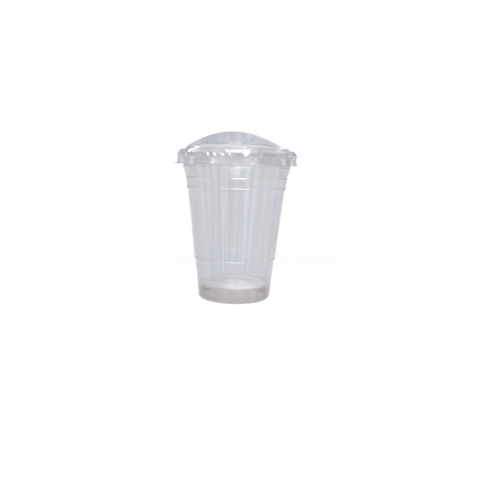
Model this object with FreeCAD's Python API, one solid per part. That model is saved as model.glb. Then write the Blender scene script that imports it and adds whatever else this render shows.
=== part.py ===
import FreeCAD, Part
import math
import os

# Clear takeaway cup with a push-fit sip lid, both formed from thin clear sheet.
# Millimetres, +Z up, origin on the cup's axis at the level of its foot.
# The lid's high sipping side is at +Y and its pull tab at -X.

# Sheet
cup_sheet = 0.4
lid_sheet = 0.4

# Cup, overall
cup_height = 123.7
rim_radius = 49.0
foot_radius = 30.3

# Cup, rolled rim
curl_radius = 1.5
curl_sweep = 235.0

# Cup, lower wall: each ring lies outside the one below it, from the foot up
foot_height = 1.2
foot_width = 2.3
foot_round = 1.3
bead_height = 7.0
bead_reach = 1.45
bead_groove = 0.55
bead_drop = 1.6
heel_height = 15.5
heel_reach = 0.6
heel_round = 1.2
lower_step_height = 35.2
lower_step_reach = 2.75
lower_ledge_rise = 2.8
lower_ledge_width = 1.1

# Cup, upper wall: each ring lies below and inside the one above it, from the rim down
shoulder_drop = 12.1
shoulder_inset = 4.0
crease_drop = 8.8
crease_inset = 2.2
upper_step_drop = 8.2
upper_step_inset = 0.8
upper_ledge_rise = 2.6
upper_ledge_width = 1.0

# Cup, roundings and the small ribs on its rings
step_round = 0.7
rib_relief = 0.35
rib_rise = 0.8
rib_round = 0.6

# Cup, raised floor
floor_height = 12.0
floor_inset = 0.4
floor_round = 1.0
disc_radius = 18.5
disc_drop = 1.0
disc_round = 0.8

# Lid, channel that sits over the cup's rim
ring_rise = 1.9
ring_top_width = 1.6
ring_slope_drop = 2.6
channel_gap = 0.3
wall_drop = 3.3
waist_inset = 0.18
waist_drop = 0.7
flare_drop = 4.8
flare_run = 0.7
flange_width = 0.7
plug_depth = 4.5
plug_gap = 0.45
groove_width = 1.3
ring_round = 0.8

# Lid, band of triangular facets around the channel's wall
facet_count = 54
facet_base = 0.1
facet_relief = 0.4
facet_height = 2.9

# Lid, pull tab
tab_reach = 1.9
tab_round = 9.0

# Lid, raised bell with its sipping lip
lip_low = 1.8
lip_high = 18.2
lip_sharpness = 1.7
lip_round = 1.1
wall_draft = 0.05
deck_drop = 1.6
deck_rise = 8.0
ramp_start = 5.0
ramp_end = 36.0
deck_foot = 1.3

# Lid, openings in the deck
sip_width = 15.0
sip_depth = 7.0
sip_centre = 33.2
vent_radius = 1.0
vent_centre = -24.0

# Points of the curves that the bell is lofted through
ring_points = 36
lip_steps = 6
deck_steps = 6
hub_radius = 4.0


def vec(r, z):
    return FreeCAD.Vector(r, 0, z)


def polar(radius, angle, z):
    """A point at an angle, in radians, measured from the high side at +Y."""
    return FreeCAD.Vector(radius * math.sin(angle), radius * math.cos(angle), z)


def rounded_edges(corners):
    """Edges through (radius, height, corner rounding), each corner a tangent arc."""
    points = [vec(r, z) for r, z, _ in corners]
    edges = []
    last = points[0]
    for i in range(1, len(points) - 1):
        back = (points[i - 1] - points[i]).normalize()
        ahead = (points[i + 1] - points[i]).normalize()
        turn = math.pi - back.getAngle(ahead)
        rounding = corners[i][2]
        reach = rounding * math.tan(turn / 2)
        start = points[i] + back * reach
        end = points[i] + ahead * reach
        middle = points[i] + (back + ahead).normalize() * rounding * (1 / math.cos(turn / 2) - 1)
        edges.append(Part.makeLine(last, start))
        edges.append(Part.Arc(start, middle, end).toShape())
        last = end
    edges.append(Part.makeLine(last, points[-1]))
    return edges


def sheet_ring(edges, thickness):
    """A formed sheet: the section line given a thickness and turned about the axis."""
    section = Part.Wire(edges).makeOffset2D(thickness, fill=True, openResult=True)
    return section.revolve(FreeCAD.Vector(0, 0, 0), FreeCAD.Vector(0, 0, 1), 360)


def rim_curl(wall_foot):
    """The rolled rim: the end of the wall curls up, outwards and back under."""
    path_radius = curl_radius - cup_sheet
    centre = vec(rim_radius - curl_radius, cup_height - curl_radius)
    reach = centre - wall_foot
    lean = math.degrees(math.asin(path_radius / reach.Length))
    along = FreeCAD.Rotation(FreeCAD.Vector(0, 1, 0), -lean).multVec(reach).normalize()
    inward = FreeCAD.Vector(-along.z, 0, along.x) * path_radius

    def on_curl(degrees):
        return centre + FreeCAD.Rotation(FreeCAD.Vector(0, 1, 0), degrees).multVec(inward)

    return on_curl(0), Part.Arc(on_curl(0), on_curl(curl_sweep / 2), on_curl(curl_sweep)).toShape()


def step_out(radius, height, ledge_width, ledge_rise):
    """A stacking step, with a small rib along its upper edge."""
    return [
        (radius - ledge_width, height - ledge_rise, step_round),
        (radius + rib_relief, height, rib_round),
        (radius, height + rib_rise, rib_round),
    ]


def rib(radius, height):
    """A small rib around the wall."""
    return [
        (radius, height - rib_rise, rib_round),
        (radius + rib_relief, height, rib_round),
        (radius, height + rib_rise, rib_round),
    ]


def make_cup():
    floor_under = floor_height - cup_sheet
    foot_inner = foot_radius - foot_width
    bead_radius = foot_radius + bead_reach
    heel_radius = bead_radius + heel_reach
    lower_step_radius = heel_radius + lower_step_reach
    shoulder_radius = rim_radius - shoulder_inset
    shoulder_height = cup_height - shoulder_drop
    crease_radius = shoulder_radius - crease_inset
    crease_height = shoulder_height - crease_drop
    upper_step_radius = crease_radius - upper_step_inset
    upper_step_height = crease_height - upper_step_drop
    corners = [
        (0, floor_under - disc_drop, 0),
        (disc_radius, floor_under - disc_drop, disc_round),
        (disc_radius + disc_drop, floor_under, disc_round),
        (foot_inner - floor_inset, floor_under, floor_round),
        (foot_inner, 0, cup_sheet),
        (foot_radius, 0, foot_round),
        (bead_radius - bead_groove, foot_height + foot_round, foot_round),
        (bead_radius - bead_groove, bead_height - bead_drop, step_round),
        (bead_radius, bead_height, step_round),
        (heel_radius, heel_height, heel_round),
    ]
    corners += step_out(lower_step_radius, lower_step_height, lower_ledge_width, lower_ledge_rise)
    corners += step_out(upper_step_radius, upper_step_height, upper_ledge_width, upper_ledge_rise)
    corners += rib(crease_radius, crease_height) + rib(shoulder_radius, shoulder_height)
    wall_top, curl = rim_curl(vec(shoulder_radius, shoulder_height + rib_rise))
    corners.append((wall_top.x, wall_top.z, 0))
    return sheet_ring(rounded_edges(corners) + [curl], cup_sheet)


# Lid places that follow the cup's rim
ring_top = cup_height + ring_rise
wall_radius = rim_radius + channel_gap + lid_sheet
wall_bottom = ring_top - ring_slope_drop - wall_drop
plug_radius = rim_radius - 2 * curl_radius - plug_gap - lid_sheet
groove_height = ring_top - plug_depth
bell_radius = plug_radius - groove_width
flare_height = wall_bottom - waist_drop - flare_drop


def make_channel():
    """The ring that grips the rim: plug wall, top, gripping wall, flare and flange."""
    waist = wall_radius - waist_inset
    flare_radius = wall_radius + flare_run
    shoulder = plug_radius + ring_round + ring_top_width
    corners = [
        (bell_radius - 2 * lid_sheet, groove_height, 0),
        (plug_radius, groove_height, lid_sheet),
        (plug_radius, ring_top, ring_round),
        (shoulder, ring_top, ring_round),
        (wall_radius, ring_top - ring_slope_drop, ring_round),
        (wall_radius, wall_bottom, lid_sheet),
        (waist, wall_bottom - waist_drop, lid_sheet),
        (flare_radius, flare_height, lid_sheet),
        (flare_radius + flange_width, flare_height, 0),
    ]
    return sheet_ring(rounded_edges(corners), -lid_sheet)


def facet_ring(z, phase):
    """Corners of one edge of the facet band, in and out by turns."""
    inner = wall_radius + facet_base
    step = math.pi / facet_count
    return [
        polar(inner + facet_relief * ((i + phase) % 2), i * step, z)
        for i in range(2 * facet_count)
    ]


def triangle(a, b, c):
    return Part.Face(Part.makePolygon([a, b, c, a]))


def make_facets():
    """A collar of flat triangles whose ridges run up and down around the wall."""
    low = facet_ring(wall_bottom, 0)
    high = facet_ring(wall_bottom + facet_height, 1)
    faces = [
        Part.Face(Part.makePolygon(low + [low[0]])),
        Part.Face(Part.makePolygon(high + [high[0]])),
    ]
    for i in range(len(low)):
        j = (i + 1) % len(low)
        if i % 2:
            faces += [triangle(low[i], low[j], high[j]), triangle(low[i], high[j], high[i])]
        else:
            faces += [triangle(low[i], low[j], high[i]), triangle(low[j], high[j], high[i])]
    collar = Part.Solid(Part.Shell(faces))
    core = Part.makeCylinder(wall_radius - lid_sheet / 2, cup_height)
    return collar.cut(core)


def make_tab():
    """A rounded pull tab that carries the flange further out on one side."""
    flange_radius = wall_radius + flare_run + flange_width
    base = FreeCAD.Vector(0, 0, flare_height - lid_sheet)
    disc = Part.makeCylinder(
        tab_round, lid_sheet, base - FreeCAD.Vector(flange_radius + tab_reach - tab_round, 0, 0)
    )
    core = Part.makeCylinder(flange_radius - flange_width / 2, lid_sheet, base)
    return disc.cut(core)


def smooth_step(value):
    share = min(1.0, max(0.0, value))
    return share * share * (3 - 2 * share)


def deck_height(y):
    """The deck is level at the low side and ramps up towards the sipping side."""
    climb = smooth_step((y - ramp_start) / (ramp_end - ramp_start))
    return ring_top + lip_low - deck_drop + deck_rise * climb


def bell_section(angle):
    """(radius, height) of the top skin at one angle, from the groove to the hub."""
    rise = max(0.0, math.cos(angle)) ** lip_sharpness
    wall_height = lip_low + (lip_high - lip_low) * rise
    crest = ring_top + wall_height
    lip_centre = bell_radius - wall_draft * wall_height - lip_round
    lip_level = crest - lip_round
    section = [
        (bell_radius, groove_height - lid_sheet / 2),
        (bell_radius, ring_top - lid_sheet),
        (lip_centre + lip_round, lip_level),
    ]
    for step in range(1, lip_steps):
        turn = math.pi * step / lip_steps
        section.append((
            lip_centre + lip_round * math.cos(turn),
            lip_level + lip_round * math.sin(turn),
        ))
    foot = lip_centre - lip_round - deck_foot
    for step in range(deck_steps):
        radius = foot + (hub_radius - foot) * step / deck_steps
        section.append((radius, deck_height(radius * math.cos(angle))))
    section.append((hub_radius, deck_height(0)))
    return section


def under_section(angle):
    """The same section one sheet thickness below and inside the top skin."""
    top = bell_section(angle)
    under = [(top[0][0] - lid_sheet, top[0][1] - plug_depth)]
    for before, here, after in zip(top, top[1:], top[2:]):
        along = FreeCAD.Vector(after[0] - before[0], 0, after[1] - before[1]).normalize()
        under.append((here[0] - along.z * lid_sheet, here[1] + along.x * lid_sheet))
    under.append((hub_radius, deck_height(0) - lid_sheet))
    return under


def skin_solid(section_at):
    """A solid under one skin, lofted through closed curves around the axis."""
    angles = [2 * math.pi * i / ring_points for i in range(ring_points)]
    sections = [section_at(angle) for angle in angles]
    curves = []
    for level in range(len(sections[0])):
        points = [
            polar(section[level][0], angle, section[level][1])
            for section, angle in zip(sections, angles)
        ]
        curve = Part.BSplineCurve()
        curve.interpolate(points, PeriodicFlag=True)
        curves.append(Part.Wire(curve.toShape()))
    return Part.makeLoft(curves, True, True)


def make_sip_opening():
    """A slot with round ends, straight through the ramp behind the high lip."""
    end_radius = sip_depth / 2
    half_run = sip_width / 2 - end_radius
    tall = lip_high + plug_depth
    ends = [
        Part.makeCylinder(end_radius, tall, FreeCAD.Vector(x, sip_centre, ring_top))
        for x in (-half_run, half_run)
    ]
    middle = Part.makeBox(
        2 * half_run, sip_depth, tall,
        FreeCAD.Vector(-half_run, sip_centre - end_radius, ring_top),
    )
    return middle.fuse(ends)


def make_vent():
    return Part.makeCylinder(
        vent_radius, plug_depth, FreeCAD.Vector(0, vent_centre, deck_height(0) - plug_depth / 2)
    )


def make_lid():
    blank = make_channel().fuse([make_facets(), make_tab(), skin_solid(bell_section)])
    formed = blank.cut(skin_solid(under_section))
    return formed.cut([make_sip_opening(), make_vent()])


def save(shape, node):
    solid = shape.Solids[0]
    solid.exportStep(os.path.join("parts", node + ".step"))
    print(node, len(shape.Solids), "solid", solid.isValid(), round(solid.Volume, 1), "mm3")


os.makedirs("parts", exist_ok=True)
save(make_cup(), "cup")
save(make_lid(), "lid")
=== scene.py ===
import bpy
import math
from mathutils import Matrix, Quaternion, Vector

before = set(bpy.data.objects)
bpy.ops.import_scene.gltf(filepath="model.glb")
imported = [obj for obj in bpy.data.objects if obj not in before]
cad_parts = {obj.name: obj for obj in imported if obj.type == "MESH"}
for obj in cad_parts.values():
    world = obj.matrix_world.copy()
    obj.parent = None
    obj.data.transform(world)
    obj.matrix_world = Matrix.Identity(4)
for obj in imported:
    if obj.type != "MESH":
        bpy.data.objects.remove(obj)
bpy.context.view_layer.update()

# Lengths are in metres and angles in degrees, apart from the lens.

# Camera, from the photograph's 480 pixel frame
PHOTO_SIZE = 480
FOCAL_PIXELS = 520
SENSOR_MM = 36
CLIP_START = 0.01
CAMERA_DISTANCE = 0.446
CAMERA_HEIGHT = 0.1148
CAMERA_SIDE = 0.0042
CAMERA_AZIMUTH = -5
CAMERA_PITCH = 8.37
CAMERA_ROLL = 1.46

# Clear sheet: tint by height above the foot; on the cup the darker bottom band is painted shade from under
# the raised floor, and the clearer floor disc is painted light over the shade seen through it
CUP_BANDS_AND_PAINTED_SHADE = (
    # Painted shade: the darker bottom band stands for the shadowed space under the raised floor.
    (0, (0.58, 0.56, 0.555, 1)),
    (0.012, (0.715, 0.72, 0.745, 1)),
    (0.112, (0.68, 0.68, 0.70, 1)),
)
LID_SHADE = (0.81, 0.81, 0.83, 1)
LID_BANDS = (
    (0, LID_SHADE),
    (0.1285, (0.69, 0.695, 0.725, 1)),
)
BAND_BLUR = 0.0012
# Painted light: a clearer tint over the floor disc, lifting the shade seen through it.
FLOOR_DISC_PAINTED_LIGHT = (0.94, 0.90, 0.89, 1)
CENTRE_RADIUS = 0.0276
SHEET_IOR = 1.57
CLEARNESS = 0.92
SHADOW_SHADE = (0.955, 0.955, 0.96, 1)

# Draw streaks and ripple of the sheet
STREAK_DETAIL = 3
STREAK_BUMP = 0.5
STREAK_EDGES = (0.3, 0.7)
STREAK_BRIGHTNESS = (0.94, 1.05)
ROUGHNESS = (0.01, 0.06)
RIPPLE_SCALE = 60
RIPPLE_DETAIL = 2
RIPPLE_BUMP = 0.25
RIPPLE_DEPTH = 0.0008

# Room and floor
WHITE = (1, 1, 1, 1)
ROOM_COLOR = (0.98, 0.985, 1, 1)
ROOM_LIGHT = 0.55
FLOOR_SIZE = 8.0
FLOOR_DROP = 0.0002
FLOOR_COLOR = (0.8, 0.8, 0.8, 1)
FLOOR_GLOW = 0.07
FLOOR_NEAR = 0.11
FLOOR_FAR = 0.3

# Lamps, windows and dark curtains round the cup
AIM_HEIGHT = 0.07
LAMP_DISTANCE = 1.2
LAMP_COLOR = (1, 1, 1)
COOL_COLOR = (0.97, 0.97, 1)
WINDOW_DISTANCE = 1.5
WINDOW_COLOR = (0.90, 0.91, 1)
GLINT_AZIMUTHS = (-48, -35, -22, 0, 22)
CURTAIN_AZIMUTHS = range(45, 180, 20)
CURTAIN_ELEVATION = 14
CURTAIN_DISTANCE = 1.8
CURTAIN_WIDTH = 0.62
CURTAIN_HEIGHT = 1.4
CURTAIN_COLOR = (0.30, 0.30, 0.34, 1)

LIGHT_BOUNCES = 40


class Graph:
    """A node tree with short ways to add and join nodes."""

    def __init__(self, tree):
        self.nodes = tree.nodes
        self.links = tree.links
        self.nodes.clear()

    def add(self, kind, operation=None, **inputs):
        node = self.nodes.new("ShaderNode" + kind)
        if operation:
            node.operation = operation
        for name, value in inputs.items():
            self.set(node, name.replace("_", " "), value)
        return node

    def set(self, node, key, value):
        """Gives a named or numbered input a constant or another node's output."""
        if isinstance(value, bpy.types.NodeSocket):
            self.links.new(value, node.inputs[key])
        else:
            node.inputs[key].default_value = value

    def join(self, kind, operation, values):
        """A node whose inputs are given in order."""
        node = self.add(kind, operation)
        for i, value in enumerate(values):
            self.set(node, i, value)
        return node.outputs[0]

    def math(self, operation, *values):
        return self.join("Math", operation, values)

    def vector(self, operation, *values):
        return self.join("VectorMath", operation, values)

    def mix(self, factor, first, second):
        return self.join("MixShader", None, (factor, first, second))

    def spread(self, value, edges, results):
        """Runs softly from one result to the other between two edges."""
        node = self.add("MapRange", Value=value, From_Min=edges[0], From_Max=edges[1])
        node.interpolation_type = "SMOOTHSTEP"
        self.set(node, "To Min", results[0])
        self.set(node, "To Max", results[1])
        return node.outputs[0]

    def noise(self, place, scale, detail):
        return self.add("TexNoise", Vector=place, Scale=scale, Detail=detail).outputs["Fac"]

    def place(self):
        """The point's own coordinates on the object."""
        return self.add("TexCoord").outputs["Object"]

    def seen(self):
        """1 for rays that show the background: camera, mirror and see-through ones."""
        path = self.add("LightPath").outputs
        direct = self.math("MAXIMUM", path["Is Camera Ray"], path["Is Glossy Ray"])
        return self.math("MAXIMUM", direct, path["Is Transmission Ray"])

    def finish(self, surface, kind="OutputMaterial"):
        self.add(kind, Surface=surface)


def new_material(name):
    material = bpy.data.materials.new(name)
    material.use_nodes = True
    return material, Graph(material.node_tree)


def axis_distance(g):
    """A point's offset from the upright axis, and its length."""
    offset = g.vector("MULTIPLY", g.place(), (1, 1, 0))
    length = g.add("VectorMath", "LENGTH")
    g.set(length, 0, offset)
    return offset, length.outputs["Value"]


def make_camera():
    """The photograph's view: level aim, then pitched down and rolled."""
    turn = math.radians(CAMERA_AZIMUTH)
    back = Vector((math.sin(turn), -math.cos(turn), 0))
    right = Vector((math.cos(turn), math.sin(turn), 0))
    data = bpy.data.cameras.new("camera")
    data.sensor_width = SENSOR_MM
    data.lens = FOCAL_PIXELS / PHOTO_SIZE * SENSOR_MM
    data.clip_start = CLIP_START
    camera = bpy.data.objects.new("camera", data)
    bpy.context.scene.collection.objects.link(camera)
    place = back * CAMERA_DISTANCE + right * CAMERA_SIDE + Vector((0, 0, CAMERA_HEIGHT))
    aim = (
        Matrix.Rotation(turn, 4, "Z")
        @ Matrix.Rotation(math.radians(90 - CAMERA_PITCH), 4, "X")
        @ Matrix.Rotation(math.radians(CAMERA_ROLL), 4, "Z")
    )
    camera.matrix_world = Matrix.Translation(place) @ aim
    bpy.context.scene.camera = camera


def make_world():
    """Soft room light, with a white background where it is seen."""
    world = bpy.data.worlds.new("studio")
    bpy.context.scene.world = world
    world.use_nodes = True
    g = Graph(world.node_tree)
    soft = g.add("Background", Color=ROOM_COLOR, Strength=ROOM_LIGHT)
    white = g.add("Background", Color=WHITE, Strength=1)
    g.finish(g.mix(g.seen(), soft.outputs[0], white.outputs[0]), "OutputWorld")


def add_panel(name, width, height):
    """A flat rectangle centred on its origin."""
    x = width / 2
    y = height / 2
    mesh = bpy.data.meshes.new(name)
    mesh.from_pydata([(-x, -y, 0), (x, -y, 0), (x, y, 0), (-x, y, 0)], [], [(0, 1, 2, 3)])
    panel = bpy.data.objects.new(name, mesh)
    bpy.context.scene.collection.objects.link(panel)
    return panel


def make_floor():
    """A pale floor that keeps the cup's soft shadow and is plain white far out."""
    floor = add_panel("floor", FLOOR_SIZE, FLOOR_SIZE)
    floor.location.z = -FLOOR_DROP
    material, g = new_material("floor_white")
    seen = g.seen()
    paint = g.add("BsdfDiffuse", Color=FLOOR_COLOR).outputs[0]
    glow = g.add("Emission", Strength=FLOOR_GLOW).outputs[0]
    plain = g.add("Emission", Strength=1).outputs[0]
    near = g.mix(seen, paint, g.join("AddShader", None, (paint, glow)))
    radius = axis_distance(g)[1]
    far = g.spread(radius, (FLOOR_NEAR, FLOOR_FAR), (0, 1))
    g.finish(g.mix(g.math("MULTIPLY", far, seen), near, plain))
    floor.data.materials.append(material)


def face_cup(thing, azimuth, elevation, distance, slant=0):
    """Puts a lamp or panel at a bearing round the cup, facing it."""
    a = math.radians(azimuth)
    e = math.radians(elevation)
    back = Vector((math.sin(a) * math.cos(e), -math.cos(a) * math.cos(e), math.sin(e)))
    lean = Quaternion((0, 0, 1), math.radians(slant))
    thing.location = Vector((0, 0, AIM_HEIGHT)) + back * distance
    thing.rotation_mode = "QUATERNION"
    thing.rotation_quaternion = back.to_track_quat("Z", "Y") @ lean


def add_lamp(name, azimuth, elevation, width, height, brightness, color=LAMP_COLOR):
    """A soft box whose face has the given brightness, whatever its size."""
    data = bpy.data.lights.new(name, "AREA")
    data.shape = "RECTANGLE"
    data.size = width
    data.size_y = height
    data.energy = brightness * math.pi * width * height
    data.color = color
    lamp = bpy.data.objects.new(name, data)
    bpy.context.scene.collection.objects.link(lamp)
    face_cup(lamp, azimuth, elevation, LAMP_DISTANCE)
    return lamp


def add_window(name, azimuth, elevation, width, height, brightness, slant=0):
    """A cool soft box further off, which can lean to a side."""
    window = add_lamp(name, azimuth, elevation, width, height, brightness, WINDOW_COLOR)
    face_cup(window, azimuth, elevation, WINDOW_DISTANCE, slant)


def add_curtain(azimuth):
    """A dark panel that only mirror-like surfaces pick up."""
    curtain = add_panel("curtain", CURTAIN_WIDTH, CURTAIN_HEIGHT)
    face_cup(curtain, azimuth, CURTAIN_ELEVATION, CURTAIN_DISTANCE)
    curtain.visible_camera = False
    curtain.visible_diffuse = False
    curtain.visible_transmission = False
    curtain.visible_shadow = False
    material, g = new_material("curtain")
    g.finish(g.add("Emission", Color=CURTAIN_COLOR, Strength=1).outputs[0])
    curtain.data.materials.append(material)


def make_lights():
    """Ceiling lamps, windows, small lamps for the lid's facets, and the curtains."""
    add_lamp("sky", azimuth=-3, elevation=78, width=0.60, height=0.50, brightness=4)
    add_lamp("key", azimuth=1, elevation=40, width=0.42, height=0.30, brightness=12)
    add_lamp("side", azimuth=28, elevation=38, width=0.16, height=0.08, brightness=22, color=COOL_COLOR)
    add_lamp("fill", azimuth=-40, elevation=40, width=0.16, height=0.08, brightness=12, color=COOL_COLOR)
    add_lamp("rear", azimuth=-142, elevation=40, width=0.26, height=0.20, brightness=9)
    add_window("window_rear", azimuth=170, elevation=14, width=0.35, height=0.30, brightness=1.5)
    add_window("window_left", azimuth=-42, elevation=10, width=0.80, height=0.65, brightness=1.8)
    add_window("window_right", azimuth=27, elevation=11, width=0.35, height=0.40, brightness=2.6)
    add_window("slant_left", azimuth=-100, elevation=12, width=0.30, height=0.70, brightness=1.7, slant=28)
    add_window("slant_right", azimuth=95, elevation=12, width=0.30, height=0.70, brightness=1.7, slant=-28)
    for azimuth in GLINT_AZIMUTHS:
        add_lamp("glint", azimuth, elevation=18, width=0.20, height=0.10, brightness=9)
    for azimuth in CURTAIN_AZIMUTHS:
        add_curtain(-azimuth)
        add_curtain(azimuth)


def around_axis(g, around, along, core):
    """Coordinates that run round the axis outside a core radius, and along it."""
    offset, radius = axis_distance(g)
    ring = g.add("VectorMath", "SCALE", Scale=g.math("DIVIDE", around, g.math("MAXIMUM", radius, core)))
    g.set(ring, 0, offset)
    up = g.vector("MULTIPLY", g.place(), (0, 0, along))
    return g.vector("ADD", ring.outputs[0], up)


def bump(g, height, strength, depth):
    return g.add("Bump", Height=height, Strength=strength, Distance=depth)


def blend(g, value, edge, first, second):
    """One colour below an edge and another above it, softly joined."""
    share = g.spread(value, (edge - BAND_BLUR, edge + BAND_BLUR), (0, 1))
    return g.add("MixRGB", Fac=share, Color1=first, Color2=second).outputs[0]


def tint(g, bands, centre, streaks):
    """The sheet's colour along its height, clearer at the centre, with light streaks. On the cup the dark
    bottom band is painted shade and the clearer floor disc is painted light.
    """
    height = g.add("SeparateXYZ")
    g.set(height, 0, g.place())
    color = bands[0][1]
    for level, shade in bands[1:]:
        color = blend(g, height.outputs["Z"], level, color, shade)
    # On the cup this clearer centre is painted light over the floor disc.
    color = blend(g, axis_distance(g)[1], CENTRE_RADIUS, centre, color)
    brightness = g.spread(streaks, STREAK_EDGES, STREAK_BRIGHTNESS)
    return g.add("HueSaturation", Color=color, Value=brightness).outputs[0]


def clear_sheet(name, bands, centre, around, along, core, depth):
    """Clear formed plastic: draw streaks and a slight ripple from the mould.

    around and along set how close the streaks lie round the axis and along it, core is the radius
    inside which they no longer draw together, and depth is their relief.
    """
    material, g = new_material(name)
    streaks = g.noise(around_axis(g, around, along, core), scale=1, detail=STREAK_DETAIL)
    ripple = g.noise(g.place(), scale=RIPPLE_SCALE, detail=RIPPLE_DETAIL)
    relief = bump(g, ripple, RIPPLE_BUMP, RIPPLE_DEPTH)
    g.set(relief, "Normal", bump(g, streaks, STREAK_BUMP, depth).outputs[0])
    shader = g.add("BsdfPrincipled", IOR=SHEET_IOR, Transmission_Weight=CLEARNESS)
    g.set(shader, "Base Color", tint(g, bands, centre, streaks))
    g.set(shader, "Roughness", g.spread(streaks, (0, 1), ROUGHNESS))
    g.set(shader, "Normal", relief.outputs[0])
    through = g.add("BsdfTransparent", Color=SHADOW_SHADE)
    shadow = g.add("LightPath").outputs["Is Shadow Ray"]
    g.finish(g.mix(shadow, shader.outputs[0], through.outputs[0]))
    return material


def dress(node, material):
    """Gives a carried-over node its finish in every material slot."""
    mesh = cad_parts[node].data
    if not mesh.materials:
        mesh.materials.append(material)
    for i in range(len(mesh.materials)):
        mesh.materials[i] = material


scene = bpy.context.scene
scene.view_settings.view_transform = "Standard"
scene.cycles.max_bounces = LIGHT_BOUNCES
scene.cycles.transmission_bounces = LIGHT_BOUNCES
scene.cycles.transparent_max_bounces = LIGHT_BOUNCES
make_camera()
make_world()
make_floor()
make_lights()
# The cup's dark bottom band is painted shade and its clearer floor disc is painted light.
cup_sheet = clear_sheet("clear_cup", CUP_BANDS_AND_PAINTED_SHADE, FLOOR_DISC_PAINTED_LIGHT, around=14, along=5, core=0.03, depth=0.00028)
lid_sheet = clear_sheet("clear_lid", LID_BANDS, LID_SHADE, around=6, along=50, core=0.045, depth=0.00012)
dress("cup", cup_sheet)
dress("lid", lid_sheet)
